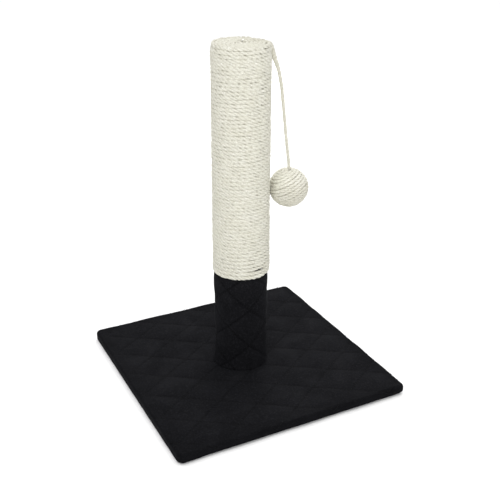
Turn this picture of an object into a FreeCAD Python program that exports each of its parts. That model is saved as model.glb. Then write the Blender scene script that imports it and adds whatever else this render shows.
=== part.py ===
import FreeCAD, Part
import math, os
from FreeCAD import Vector as V

# Cat scratching post on a quilted square base, with a ball on a cord.
# Millimetres. Origin: middle of the underside, on the surface it stands on.
# +Z up, +X and +Y along the sides of the base.

# ---------------------------------------------------------------- dimensions
BASE = 300.0          # side of the covered base
BASE_R = 8.0          # corner radius in plan
CLOTH_T = 0.5         # backing cloth under the base
FOLD_T = 1.2          # quilted cover where it is stapled flat under the board
FOLD_W = 26.0         # width of that fold
BOARD_T = 9.0         # base board
COVER_T = 2.3         # quilted cover on top of the board
SIDE_T = 2.5          # quilted cover round the sides
EDGE_TOP_R = 4.0      # soft rounding of the covered top edge
EDGE_LOW_R = 2.2      # and of the lower edge
CLOTH_HALF = 134.0    # half side of the backing cloth
CLOTH_HOLE_R = 17.0   # hole in it for the bolt

TUBE_R = 30.0         # cardboard tube, outside
TUBE_WALL = 3.0
PLUG_T = 30.0         # wooden plugs in its ends
ROPE_D = 4.5          # rope on the post
ROPE_TURNS = 61       # turns on the post, the rim turn included
ROPE_Z0 = 140.0       # lower edge of the rope
RIM_IN = 1.6          # how far the rim turn is pulled in over the tube's edge
SLEEVE_R = 33.2       # quilted sleeve, outside
GAP = 0.05            # play between wound or pressed pieces

BOLT_R = 3.95         # M8 shank
BOLT_L = 30.0
BOLT_HEAD_R = 9.0
BOLT_HEAD_T = 3.0
WASHER_R = 12.0
WASHER_T = 1.5
CBORE_R = 13.5
CBORE_T = 5.0
INSERT_R = 6.0
INSERT_L = 15.0

CORD_D = 3.6          # toy cord
CORD_AZ = -12.0       # direction of the cord and the ball, degrees from +X
CORD_Z = 412.3        # its height where it lies in the coil
PIVOT_U = 32.2        # where it starts to bend over the rim
PIVOT_GAP = 2.2       # from that point to the centre of each rounded cord end
BALL_R = 24.0         # rope-wound ball
BALL_ROPE = 3.9       # thickness of its winding
BALL_WALL = 1.5       # wall of the hollow core
BALL_CLEAR = 0.5      # ball to post at rest
BALL_Z = 240.5        # height of the ball's centre
HOLE_R = 2.2          # hole in the ball for the cord
KNOT_R = 4.0

# ---------------------------------------------------------------- levels
Z_FOLD = CLOTH_T
Z_BOARD = Z_FOLD + FOLD_T
Z_BOARD_TOP = Z_BOARD + BOARD_T
Z_TOP = Z_BOARD_TOP + COVER_T                 # top of the covered base
Z_TUBE_TOP = ROPE_Z0 + ROPE_D * (ROPE_TURNS - 1)
Z_POST_TOP = Z_TUBE_TOP + ROPE_D              # overall height
ROPE_R = TUBE_R + ROPE_D
TUBE_IN = TUBE_R - TUBE_WALL
BALL_U = ROPE_R + BALL_CLEAR + BALL_R

# The cord's route. u runs outward from the post's axis along CORD_AZ,
# v is square to it (anticlockwise), z is up.
TAIL = [(4.5, 13.5), (9.0, 9.4), (13.3, 5.2), (17.8, 1.7), (22.3, 0.0), (27.0, 0.0)]
DROP = [(27.0, CORD_Z), (34.3, CORD_Z), (37.5, 406.4), (40.9, 396.6), (44.3, 385.6),
        (47.1, 370.6), (49.6, 352.0), (51.8, 330.0), (54.3, 306.0), (57.0, 283.0),
        (BALL_U, 267.5), (BALL_U, 256.0)]

ca, sa = math.cos(math.radians(CORD_AZ)), math.sin(math.radians(CORD_AZ))


def uv(u, v, z):
    return V(u * ca - v * sa, u * sa + v * ca, z)


U_AXIS = V(ca, sa, 0)
T_AXIS = V(-sa, ca, 0)


# ---------------------------------------------------------------- helpers
def slab(half, r, z0, z1):
    b = Part.makeBox(2 * half, 2 * half, z1 - z0, V(-half, -half, z0))
    if r > 0:
        up = [e for e in b.Edges if abs(e.Vertexes[0].X - e.Vertexes[1].X) < 1e-6
              and abs(e.Vertexes[0].Y - e.Vertexes[1].Y) < 1e-6]
        b = b.makeFillet(r, up)
    return b


def cyl(r, z0, z1, x=0.0, y=0.0):
    return Part.makeCylinder(r, z1 - z0, V(x, y, z0), V(0, 0, 1))


def ring(r_out, r_in, z0, z1):
    return cyl(r_out, z0, z1).cut(cyl(r_in, z0 - 1, z1 + 1))


def revolve(edges):
    face = Part.Face(Part.Wire(edges))
    s = face.revolve(V(0, 0, 0), V(0, 0, 1), 360)
    return s if s.Volume > 0 else s.reversed()


def line(a, b):
    return Part.LineSegment(V(a[0], 0, a[1]), V(b[0], 0, b[1])).toShape()


def arc(a, m, b):
    return Part.Arc(V(a[0], 0, a[1]), V(m[0], 0, m[1]), V(b[0], 0, b[1])).toShape()


def route(pts):
    """Straight runs joined by tangent arcs; returns the wire, its length and the radii."""
    edges, radii = [], []
    start = pts[0]
    for i in range(1, len(pts) - 1):
        a, p, b = pts[i - 1], pts[i], pts[i + 1]
        d1, d2 = p.sub(a), b.sub(p)
        l1, l2 = d1.Length, d2.Length
        d1.normalize()
        d2.normalize()
        turn = math.acos(max(-1.0, min(1.0, d1.dot(d2))))
        t = 0.45 * min(l1, l2)
        r = t / math.tan(turn / 2)
        p1, p2 = p.sub(d1 * t), p.add(d2 * t)
        inward = d2.sub(d1)
        inward.normalize()
        mid = p.add(inward * (r / math.cos(turn / 2) - r))
        edges.append(Part.LineSegment(start, p1).toShape())
        edges.append(Part.Arc(p1, mid, p2).toShape())
        radii.append((round(math.degrees(turn), 1), round(r, 1)))
        start = p2
    edges.append(Part.LineSegment(start, pts[-1]).toShape())
    w = Part.Wire(edges)
    return w, w.Length, radii


def tube_on(wire, start, direction, r):
    prof = Part.Wire([Part.makeCircle(r, start, direction)])
    s = wire.makePipeShell([prof], True, False)
    return s if s.Volume > 0 else s.reversed()


def staple(p, along, inward, crown, leg, w, t):
    """U of flat wire: crown centred at p along 'along', legs into 'inward'."""
    side = along.cross(inward)
    def bar(c, la, li, ls):
        b = Part.makeBox(la, ls, li, V(-la / 2, -ls / 2, 0))
        m = FreeCAD.Matrix(along.x, side.x, inward.x, c.x,
                           along.y, side.y, inward.y, c.y,
                           along.z, side.z, inward.z, c.z, 0, 0, 0, 1)
        return b.transformGeometry(m)
    s = bar(p, crown, t, w)
    for k in (-1, 1):
        s = s.fuse(bar(p.add(along * (k * (crown - t) / 2)), t, leg, w))
    return s.removeSplitter()


def export(name, shape):
    assert shape.isValid(), name
    shape.exportStep(os.path.join("parts", name + ".step"))
    print("%-16s volume %10.1f mm3  solids %d  box %s" % (
        name, shape.Volume, len(shape.Solids),
        [round(x, 2) for x in (shape.BoundBox.XMin, shape.BoundBox.YMin, shape.BoundBox.ZMin,
                               shape.BoundBox.XMax, shape.BoundBox.YMax, shape.BoundBox.ZMax)]))


os.makedirs("parts", exist_ok=True)
P = {}

# ---------------------------------------------------------------- base
half = BASE / 2
board_half = half - SIDE_T
outer = slab(half, BASE_R, Z_FOLD, Z_TOP)
top_edges = [e for e in outer.Edges if abs(e.BoundBox.ZMin - Z_TOP) < 1e-6 and abs(e.BoundBox.ZMax - Z_TOP) < 1e-6]
outer = outer.makeFillet(EDGE_TOP_R, top_edges)
low_edges = [e for e in outer.Edges if abs(e.BoundBox.ZMin - Z_FOLD) < 1e-6 and abs(e.BoundBox.ZMax - Z_FOLD) < 1e-6]
outer = outer.makeFillet(EDGE_LOW_R, low_edges)
cavity = slab(board_half, BASE_R - SIDE_T, Z_BOARD, Z_BOARD_TOP)
window = slab(half - FOLD_W, 4.0, Z_FOLD - 1, Z_BOARD + 0.001)
P["base_cover"] = outer.cut(cavity).cut(window).cut(cyl(4.6, Z_BOARD, Z_TOP + 1))

board = slab(board_half, BASE_R - SIDE_T, Z_BOARD, Z_BOARD_TOP)
board = board.cut(cyl(4.5, Z_BOARD - 1, Z_BOARD_TOP + 1)).cut(cyl(CBORE_R, Z_BOARD - 1, Z_BOARD + CBORE_T))
P["base_board"] = board

P["backing_cloth"] = slab(CLOTH_HALF, 6.0, 0.0, CLOTH_T).cut(cyl(CLOTH_HOLE_R, -1, CLOTH_T + 1))

staples = []
row_at = CLOTH_HALF - 4.0
for i in range(7):
    s = (i - 3) * 39.0
    for x, y, al in ((s, -row_at, V(1, 0, 0)), (s, row_at, V(1, 0, 0)),
                     (-row_at, s, V(0, 1, 0)), (row_at, s, V(0, 1, 0))):
        staples.append(staple(V(x, y, 0.0), al, V(0, 0, 1), 10.0, 7.0, 0.9, 0.6))
P["cover_staples"] = Part.makeCompound(staples)

# ---------------------------------------------------------------- bolt
z_seat = Z_BOARD + CBORE_T
P["bolt_washer"] = ring(WASHER_R, 4.2, z_seat - WASHER_T, z_seat)
z_head = z_seat - WASHER_T
head = cyl(BOLT_HEAD_R, z_head - BOLT_HEAD_T, z_head)
rim = [e for e in head.Edges if abs(e.BoundBox.ZMax - (z_head - BOLT_HEAD_T)) < 1e-6]
head = head.makeFillet(0.8, rim)
hexa = Part.Face(Part.Wire(Part.makePolygon([V(2.9 * math.cos(math.radians(60 * k)), 2.9 * math.sin(math.radians(60 * k)), z_head - BOLT_HEAD_T - 0.1)
                                            for k in range(7)]).Edges)).extrude(V(0, 0, 2.4))
shank = cyl(BOLT_R, z_head - 0.5, z_head + BOLT_L)
tip = [e for e in shank.Edges if abs(e.BoundBox.ZMin - (z_head + BOLT_L)) < 1e-6]
shank = shank.makeChamfer(0.8, tip)
P["base_bolt"] = head.fuse(shank).cut(hexa).removeSplitter()

# ---------------------------------------------------------------- post
P["post_tube"] = ring(TUBE_R, TUBE_IN, Z_TOP, Z_TUBE_TOP)
P["bottom_plug"] = cyl(TUBE_IN - GAP, Z_TOP, Z_TOP + PLUG_T).cut(cyl(INSERT_R + GAP, Z_TOP - 1, Z_TOP + INSERT_L)).cut(
    cyl(4.3, Z_TOP, Z_TOP + PLUG_T - 4))
P["threaded_insert"] = ring(INSERT_R, BOLT_R + GAP, Z_TOP, Z_TOP + INSERT_L)
P["top_plug"] = cyl(TUBE_IN - GAP, Z_TUBE_TOP - PLUG_T / 2, Z_TUBE_TOP)

nails = []
for z, az0 in ((Z_TOP + 18.0, 45.0), (Z_TUBE_TOP - 8.0, 20.0)):
    for k in range(4):
        a = math.radians(az0 + 90 * k)
        d = V(math.cos(a), math.sin(a), 0)
        n = Part.makeCylinder(0.8, 14.0, V(0, 0, z).add(d * (TUBE_R - 14.2)), d)
        h = Part.makeCylinder(1.8, 0.6, V(0, 0, z).add(d * (TUBE_R - 0.7)), d)
        nails.append(n.fuse(h).removeSplitter())
P["plug_nails"] = Part.makeCompound(nails)

P["post_sleeve"] = ring(SLEEVE_R, TUBE_R + GAP, Z_TOP, ROPE_Z0 - 0.1)

# Rope on the post: one closed solid of the winding's outer shape, one scallop a turn.
cusp = ROPE_R - 1.0
edges = []
r_in = TUBE_R + GAP
edges.append(line((r_in, ROPE_Z0), (cusp, ROPE_Z0)))
z = ROPE_Z0
cusps = [cusp] * (ROPE_TURNS - 2) + [cusp - 0.2, cusp - 0.9]      # the last turns draw in towards the rim turn
for i in range(ROPE_TURNS - 1):
    a, b = cusps[i], cusps[i + 1]
    edges.append(arc((a, z), ((a + b) / 2 + 1.0, z + ROPE_D / 2), (b, z + ROPE_D)))
    z += ROPE_D
q = ROPE_D / 2 * math.sqrt(0.5)
mid_r, mid_z = TUBE_R + ROPE_D / 2 - RIM_IN, z + ROPE_D / 2
rim_in = mid_r - ROPE_D / 2 + GAP
low_r = mid_r + 1.6
edges.append(line((cusps[-1], z), (low_r, z + 0.45)))
edges.append(arc((low_r, z + 0.45), (mid_r + q + 0.45, mid_z + q - 0.6), (mid_r, Z_POST_TOP)))
edges.append(arc((mid_r, Z_POST_TOP), (mid_r - q, mid_z + q), (rim_in, mid_z + 0.6)))
edges.append(line((rim_in, mid_z + 0.6), (rim_in, Z_TUBE_TOP + GAP)))
edges.append(line((rim_in, Z_TUBE_TOP + GAP), (r_in, Z_TUBE_TOP + GAP)))
edges.append(line((r_in, Z_TUBE_TOP + GAP), (r_in, ROPE_Z0)))
wrap = revolve(edges)

# Gap in the rim turn and the coil for the cord, wider towards the rim.
def notch(z0):
    pts = [(14.0, -2.5), (27.0, -2.5), (31.0, -3.9), (37.0, -5.4), (37.0, 5.4), (31.0, 3.9), (27.0, 2.5), (14.0, 2.5)]
    w = Part.makePolygon([uv(u, v, z0) for u, v in pts + pts[:1]])
    return Part.Face(w).extrude(V(0, 0, Z_POST_TOP + 2 - z0))


wrap = wrap.cut(notch(Z_TUBE_TOP - 0.7))
P["rope_wrap"] = wrap

# Flat coil on the top: four turns, with the pocket for the cord's tail.
edges = []
r = rim_in - GAP
low = Z_TUBE_TOP + GAP
edges.append(line((9.25, low), (r, low)))
edges.append(line((r, low), (r, Z_POST_TOP - 0.9)))
n = 0
while r > 12:
    edges.append(arc((r, Z_POST_TOP - 0.9), (r - ROPE_D / 2, Z_POST_TOP - 0.05), (r - ROPE_D, Z_POST_TOP - 0.9)))
    r -= ROPE_D
    n += 1
edges.append(line((r, Z_POST_TOP - 0.9), (9.25, Z_POST_TOP - 0.9)) if abs(r - 9.25) > 1e-6 else None)
edges = [e for e in edges if e]
edges.append(line((9.25, Z_POST_TOP - 0.9), (9.25, low)))
coil = revolve(edges)
middle = cyl(9.25, low, Z_POST_TOP - 0.6)
coil = coil.fuse(middle).removeSplitter()
pocket = Part.makeCylinder(9.5, 12, uv(9.0, 9.0, Z_TUBE_TOP - 1), V(0, 0, 1))
way = Part.Face(Part.makePolygon([uv(u, v, Z_TUBE_TOP - 1) for u, v in
                                  ((10.0, 0.0), (16.0, -2.0), (24.0, -2.5), (24.0, 3.2), (17.0, 7.0), (10.0, 9.0), (10.0, 0.0))])).extrude(V(0, 0, 12))
coil = coil.cut(pocket).cut(way).cut(notch(Z_TUBE_TOP - 1))
P["rope_top_coil"] = coil

def radial_staple(az, z, r):
    a = math.radians(az)
    out = V(math.cos(a), math.sin(a), 0)
    return staple(out * r + V(0, 0, z), V(0, 0, 1), out * -1, 8.0, 6.2, 0.9, 0.6)


P["rope_staples"] = Part.makeCompound([radial_staple(-70, ROPE_Z0 + 6.75, 33.5), radial_staple(150, Z_TUBE_TOP - 13.5, 33.5)])

# ---------------------------------------------------------------- cord
tail_pts = [uv(u, v, CORD_Z) for u, v in TAIL]
w, length, radii = route(tail_pts)
tail = tube_on(w, tail_pts[0], tail_pts[1].sub(tail_pts[0]), CORD_D / 2)
print("cord_tail  length %.2f  volume/(section*length) %.5f  turns and radii %s" % (
    length, tail.Volume / (math.pi * CORD_D ** 2 / 4 * length), radii))
tail_length = length
P["cord_tail"] = tail

t_dir = tail_pts[1].sub(tail_pts[0])
t_dir.normalize()
s_mid = tail_pts[0].add(t_dir * 2.5)
side = V(0, 0, 1).cross(t_dir)
P["cord_staple"] = staple(V(s_mid.x, s_mid.y, CORD_Z + CORD_D / 2 + 0.15), side, V(0, 0, -1), 6.2, 10.0, 0.9, 0.6)

lead_end = PIVOT_U - PIVOT_GAP
lead = Part.makeCylinder(CORD_D / 2, lead_end - 27.0, uv(27.0, 0, CORD_Z), U_AXIS)
lead = lead.fuse(Part.makeSphere(CORD_D / 2, uv(lead_end, 0, CORD_Z))).removeSplitter()
P["cord_lead"] = lead

# The hanging cord starts on the same route, PIVOT_GAP past the bend's pivot.
drop_pts = [uv(u, 0, z) for u, z in DROP]
whole, whole_length, radii = route(drop_pts)
print("cord from the gap in the rim: length %.2f  turns and radii %s" % (whole_length, radii))
pivot = uv(PIVOT_U, 0, CORD_Z)
first_arc = whole.Edges[1]
lo, hi = first_arc.ParameterRange
for _ in range(60):
    m = (lo + hi) / 2
    if first_arc.valueAt(m).sub(pivot).Length < PIVOT_GAP or first_arc.valueAt(m).sub(drop_pts[0]).Length < PIVOT_U - 27.0:
        lo = m
    else:
        hi = m
cut_at = (lo + hi) / 2
p_start = first_arc.valueAt(cut_at)
d_start = first_arc.tangentAt(cut_at)
rest = Part.Arc(p_start, first_arc.valueAt((cut_at + first_arc.ParameterRange[1]) / 2),
                first_arc.valueAt(first_arc.ParameterRange[1])).toShape()
dw = Part.Wire([rest] + list(whole.Edges[2:]))
drop = tube_on(dw, p_start, d_start, CORD_D / 2)
print("cord_drop  length %.2f  volume/(section*length) %.5f  starts at u %.2f z %.2f" % (
    dw.Length, drop.Volume / (math.pi * CORD_D ** 2 / 4 * dw.Length), p_start.dot(U_AXIS), p_start.z))
drop = drop.fuse(Part.makeSphere(CORD_D / 2, p_start)).removeSplitter()
print("whole cord, tail to knot: %.1f mm" % (tail_length + whole_length))

# ---------------------------------------------------------------- ball
ball_c = uv(BALL_U, 0, BALL_Z)
core_r = BALL_R - BALL_ROPE - GAP
bore = Part.makeCylinder(HOLE_R, BALL_R + 2, ball_c, V(0, 0, 1))
P["ball_winding"] = Part.makeSphere(BALL_R, ball_c).cut(Part.makeSphere(core_r + GAP, ball_c)).cut(bore)
P["ball_core"] = Part.makeSphere(core_r, ball_c).cut(Part.makeSphere(core_r - BALL_WALL, ball_c)).cut(bore)

P["cord_drop"] = drop
knot = Part.makeSphere(KNOT_R, uv(BALL_U, 0, BALL_Z + 12.6))
P["cord_knot"] = knot.cut(drop)

for name in P:
    export(name, P[name])
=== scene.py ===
import math

import bpy
import numpy as np
from mathutils import Matrix, Vector


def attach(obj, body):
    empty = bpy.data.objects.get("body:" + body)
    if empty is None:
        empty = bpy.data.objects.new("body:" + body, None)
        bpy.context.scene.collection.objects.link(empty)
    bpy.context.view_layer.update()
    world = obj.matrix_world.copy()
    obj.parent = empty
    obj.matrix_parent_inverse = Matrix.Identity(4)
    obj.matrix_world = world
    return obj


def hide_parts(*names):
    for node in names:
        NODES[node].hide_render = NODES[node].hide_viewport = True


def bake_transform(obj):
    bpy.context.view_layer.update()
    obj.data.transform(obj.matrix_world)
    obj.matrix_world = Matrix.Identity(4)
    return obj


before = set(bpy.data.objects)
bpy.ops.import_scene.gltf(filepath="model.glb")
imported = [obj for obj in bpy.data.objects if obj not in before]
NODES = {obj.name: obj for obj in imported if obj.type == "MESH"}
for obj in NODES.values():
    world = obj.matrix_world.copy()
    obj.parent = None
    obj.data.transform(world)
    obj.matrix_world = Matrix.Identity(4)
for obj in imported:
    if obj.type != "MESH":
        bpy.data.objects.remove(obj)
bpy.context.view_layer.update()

# All lengths below are millimetres; meshes are written in metres.
BASE_HALF = 150.0
BASE_R = 8.0
Z_TOP = 13.0
TUBE_R = 30.0
ROPE_D = 4.5
RIM_IN = 1.6
ROPE_TURNS = 61
ROPE_Z0 = 140.0
ROPE_R = TUBE_R + ROPE_D
Z_TUBE_TOP = ROPE_Z0 + ROPE_D * (ROPE_TURNS - 1)
CORD_AZ = -12.0
CORD_Z = 412.3
BALL_R = 24.0
BALL_ROPE = 3.9
BALL_U = ROPE_R + 0.5 + BALL_R
BALL_Z = 240.5
FACING = math.degrees(math.atan2(-809.386, -398.782))     # the side of the post that faces the photograph's view
CA, SA = math.cos(math.radians(CORD_AZ)), math.sin(math.radians(CORD_AZ))
RUN = (math.cos(math.radians(FACING)), math.sin(math.radians(FACING)))


def uv(u, v, z):
    return np.array((u * CA - v * SA, u * SA + v * CA, z), float)


def metres(p):
    return tuple(float(x) * 0.001 for x in p)


# ---------------------------------------------------------------- camera
def add_camera():
    az, th = math.radians(-26.914), math.radians(24.861)
    back = Vector((math.sin(az) * math.cos(th), -math.cos(az) * math.cos(th), math.sin(th)))
    right = Vector((math.cos(az), math.sin(az), 0.0))
    up = back.cross(right)
    data = bpy.data.cameras.new("camera")
    data.sensor_width = 36.0
    data.lens = 58.721
    data.clip_start, data.clip_end = 0.02, 60.0
    cam = bpy.data.objects.new("camera", data)
    bpy.context.scene.collection.objects.link(cam)
    p = Vector((-398.782, -809.386, 582.294)) * 0.001
    cam.matrix_world = Matrix(((right.x, up.x, back.x, p.x), (right.y, up.y, back.y, p.y),
                               (right.z, up.z, back.z, p.z), (0, 0, 0, 1)))
    bpy.context.scene.camera = cam


add_camera()


# ---------------------------------------------------------------- mesh helpers
def new_object(name, verts, faces, smooth=True, attributes=None):
    me = bpy.data.meshes.new(name)
    me.from_pydata((np.asarray(verts, float) * 0.001).tolist(), [], [list(map(int, f)) for f in faces])
    if smooth:
        me.polygons.foreach_set("use_smooth", np.ones(len(me.polygons), bool))
    for key, value in (attributes or {}).items():
        a = me.attributes.new(key, "FLOAT", "POINT")
        a.data.foreach_set("value", np.asarray(value, np.float32).ravel())
    me.update()
    ob = bpy.data.objects.new(name, me)
    bpy.context.scene.collection.objects.link(ob)
    return ob


def waves(s, shortest, longest, seed, count=7):
    """A smooth random run along s, about -1 to 1, always the same for one seed."""
    r = np.random.default_rng(seed)
    lam = np.exp(r.uniform(math.log(shortest), math.log(longest), count))
    ph = r.uniform(0, 2 * math.pi, count)
    return sum(np.sin(2 * math.pi * s / l + p) for l, p in zip(lam, ph)) / math.sqrt(count)


def waves2(x, y, shortest, longest, seed, count=12):
    r = np.random.default_rng(seed)
    lam = np.exp(r.uniform(math.log(shortest), math.log(longest), count))
    d, ph = r.uniform(0, 2 * math.pi, count), r.uniform(0, 2 * math.pi, count)
    return sum(np.sin(2 * math.pi * (x * math.cos(a) + y * math.sin(a)) / l + p)
               for l, a, p in zip(lam, d, ph)) / math.sqrt(count)


def smoothstep(t):
    t = np.clip(t, 0, 1)
    return t * t * (3 - 2 * t)


def rope(path, out, half_w, half_h, lay, m=15, strands=3, groove=0.16, power=2.5, phase=0.0,
         ends=(3.0, 3.0), seed=1):
    """A laid rope along path. Its columns of vertices wind with the strands. Gives vertices, faces and attributes."""
    path = np.asarray(path, float)
    n = len(path)
    s = np.r_[0, np.cumsum(np.linalg.norm(np.diff(path, axis=0), axis=1))]
    t = np.gradient(path, axis=0)
    t /= np.linalg.norm(t, axis=1)[:, None]
    b = np.cross(t, out)
    b /= np.linalg.norm(b, axis=1)[:, None]
    o = np.cross(b, t)
    half_w = np.broadcast_to(np.asarray(half_w, float), n).copy()
    half_h = np.broadcast_to(np.asarray(half_h, float), n).copy()
    k = np.ones(n)
    if ends[0]:
        k *= np.sqrt(np.clip(1 - (1 - np.clip(s / ends[0], 0, 1)) ** 2, 0.06, 1))
    if ends[1]:
        k *= np.sqrt(np.clip(1 - (1 - np.clip((s[-1] - s) / ends[1], 0, 1)) ** 2, 0.06, 1))
    half_w, half_h = half_w * k, half_h * k
    per = m // strands
    j = np.arange(m)
    edge = np.minimum(j % per, (-j) % per)
    depth = groove * (1 + 0.45 * waves(s, 9, 50, seed + 6))[:, None]
    col = 1 - depth * np.where(edge == 0, 1.0, np.where(edge == 1, 0.22, 0.0))[None, :]
    fat = 1 + 0.055 * np.array([waves(s, 6, 40, seed * 31 + q) for q in range(strands)])     # strands differ
    grain = np.random.default_rng(seed + 400).normal(0, 1, (n, m))                           # loose fibres
    grain = (grain + np.roll(grain, 1, 0) + 0.6 * np.roll(grain, 1, 1)) / 1.54
    col = col * fat[(j // per) % strands].T + 0.017 * grain
    turn = 0.9 * waves(s, 90, 600, seed + 5) + 0.20 * waves(s, 12, 60, seed + 7)
    th = phase + 2 * math.pi * s[:, None] / lay + 2 * math.pi * j[None, :] / m + turn[:, None]
    c, q = np.cos(th), np.sin(th)
    r = (np.abs(c / half_w[:, None]) ** power + np.abs(q / half_h[:, None]) ** power) ** (-1 / power) * col
    v = path[:, None, :] + b[:, None, :] * (r * c)[:, :, None] + o[:, None, :] * (r * q)[:, :, None]
    i = np.arange(n - 1)[:, None] * m
    a0, a1 = i + j[None, :], i + (j[None, :] + 1) % m
    faces = np.stack([a0, a0 + m, a1 + m, a1], -1).reshape(-1, 4).tolist()
    verts = np.concatenate([v.reshape(-1, 3), path[:1], path[-1:]])
    c0 = n * m
    for x in range(m):
        y = (x + 1) % m
        faces.append([c0, x, y])
        faces.append([c0 + 1, (n - 1) * m + y, (n - 1) * m + x])
    one = np.ones((n, m))
    att = {"along": np.r_[(one * s[:, None]).ravel(), 0, s[-1]],
           "ply": np.r_[(one * j[None, :] / m).ravel(), 0, 0],
           "groove": np.r_[(one * (edge == 0)[None, :]).ravel(), 1, 1],
           "face": np.r_[q.ravel(), 0, 0],
           "tone": np.r_[(one * waves(s, 60, 900, seed + 9)[:, None]).ravel(), 0, 0]}
    return verts, faces, att


def joined(*parts):
    """Several (vertices, faces, attributes) as one."""
    verts, faces, att, base = [], [], {}, 0
    for v, f, a in parts:
        verts.append(v)
        faces += [[x + base for x in q] for q in f]
        for key in a:
            att.setdefault(key, []).append(a[key])
        base += len(v)
    return np.concatenate(verts), faces, {key: np.concatenate(x) for key, x in att.items()}


# ---------------------------------------------------------------- material helpers
class Mat:
    def __init__(self, name, **sockets):
        self.m = bpy.data.materials.new(name)
        self.m.use_nodes = True
        self.t = self.m.node_tree
        self.b = self.t.nodes["Principled BSDF"]
        for key, value in sockets.items():
            self.b.inputs[key.replace("_", " ")].default_value = value
        self.coords = None

    def node(self, kind, **props):
        n = self.t.nodes.new(kind)
        for key, value in props.items():
            setattr(n, key, value)
        return n

    def put(self, socket, value):
        if isinstance(value, bpy.types.NodeSocket):
            self.t.links.new(value, socket)
        elif value is not None:
            socket.default_value = value

    def place(self):
        if self.coords is None:
            self.coords = self.node("ShaderNodeTexCoord").outputs["Object"]
        return self.coords

    def attr(self, name):
        return self.node("ShaderNodeAttribute", attribute_type="GEOMETRY", attribute_name=name).outputs["Fac"]

    def maths(self, op, a, b=None, c=None):
        n = self.node("ShaderNodeMath", operation=op)
        for s, x in zip(n.inputs, (a, b, c)):
            self.put(s, x)
        return n.outputs[0]

    def xyz(self, x, y, z=0.0):
        n = self.node("ShaderNodeCombineXYZ")
        for s, v in zip(n.inputs, (x, y, z)):
            self.put(s, v)
        return n.outputs[0]

    def scaled(self, vector, by):
        n = self.node("ShaderNodeVectorMath", operation="MULTIPLY")
        self.put(n.inputs[0], vector)
        n.inputs[1].default_value = by
        return n.outputs[0]

    def noise(self, scale, vector=None, detail=3.0, rough=0.55, out="Fac", distort=0.0):
        n = self.node("ShaderNodeTexNoise")
        self.put(n.inputs["Vector"], vector if vector is not None else self.place())
        n.inputs["Scale"].default_value = scale
        n.inputs["Detail"].default_value = detail
        n.inputs["Roughness"].default_value = rough
        n.inputs["Distortion"].default_value = distort
        return n.outputs[out]

    def ramp(self, fac, stops):
        n = self.node("ShaderNodeValToRGB")
        self.put(n.inputs[0], fac)
        e = n.color_ramp.elements
        while len(e) < len(stops):
            e.new(0.5)
        for x, (at, colour) in zip(e, stops):
            x.position = at
            x.color = (*colour, 1) if isinstance(colour, tuple) else (colour, colour, colour, 1)
        return n.outputs[0]

    def mix(self, fac, a, b, blend="MIX"):
        n = self.node("ShaderNodeMix", data_type="RGBA", blend_type=blend)
        self.put(n.inputs[0], fac)
        for s, x in ((n.inputs[6], a), (n.inputs[7], b)):
            self.put(s, (*x, 1) if isinstance(x, tuple) and len(x) == 3 else x)
        return n.outputs[2]

    def colour(self, value):
        self.put(self.b.inputs["Base Color"], value)

    def rough(self, value):
        self.put(self.b.inputs["Roughness"], value)

    def bump(self, *layers):
        """layers are (height, distance in metres, strength), finest last."""
        last = None
        for height, distance, strength in layers:
            n = self.node("ShaderNodeBump")
            n.inputs["Strength"].default_value = strength
            n.inputs["Distance"].default_value = distance
            self.put(n.inputs["Height"], height)
            if last is not None:
                self.t.links.new(last, n.inputs["Normal"])
            last = n.outputs[0]
        self.t.links.new(last, self.b.inputs["Normal"])


def rope_material(name, light, dark, shade_and_speck, stretch=0.32, sides=0.18):
    m = Mat(name, Specular_IOR_Level=0.18, Roughness=0.85)
    along, ply, groove, face, tone = (m.attr(x) for x in ("along", "ply", "groove", "face", "tone"))
    fibre = m.noise(1.0, m.xyz(m.maths("MULTIPLY", along, stretch), m.maths("MULTIPLY", ply, 60.0), tone), 4.0, 0.65)
    hairs = m.noise(1.0, m.xyz(m.maths("MULTIPLY", along, 1.1), m.maths("MULTIPLY", ply, 190.0)), 2.0, 0.6)
    patch = m.noise(70.0, None, 3.0, 0.6)
    speck = m.noise(560.0, None, 2.0, 0.5)
    c = m.mix(m.ramp(fibre, [(0.30, 0.0), (0.72, 1.0)]), dark, light)
    c = m.mix(m.ramp(patch, [(0.35, 0.0), (0.75, 0.45)]), c, tuple(x * y for x, y in zip(light, (1.05, 1.05, 1.1))))
    c = m.mix(m.ramp(speck, [(0.30, 0.50), (0.48, 0.0)]), c, shade_and_speck)
    # painted shade: the groove columns between the strands, and wherever the groove attribute is raised, are mixed
    # towards the shade colour
    c = m.mix(m.maths("MULTIPLY", groove, 0.46), c, shade_and_speck)
    # painted shade on the sides of the rope, where its surface turns into the creases between turns
    c = m.mix(m.ramp(face, [(0.0, sides), (0.75, 0.0)]), c, shade_and_speck)
    c = m.mix(m.ramp(hairs, [(0.60, 0.0), (0.78, 0.60)]), c, (0.95, 0.94, 0.88))
    c = m.mix(m.ramp(speck, [(0.66, 0.0), (0.74, 0.75)]), c, (0.97, 0.97, 0.94))
    m.colour(c)
    m.rough(m.ramp(fibre, [(0.2, 0.95), (0.8, 0.72)]))
    m.bump((fibre, 0.00035, 0.7), (hairs, 0.00012, 0.5))
    return m.m


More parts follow.
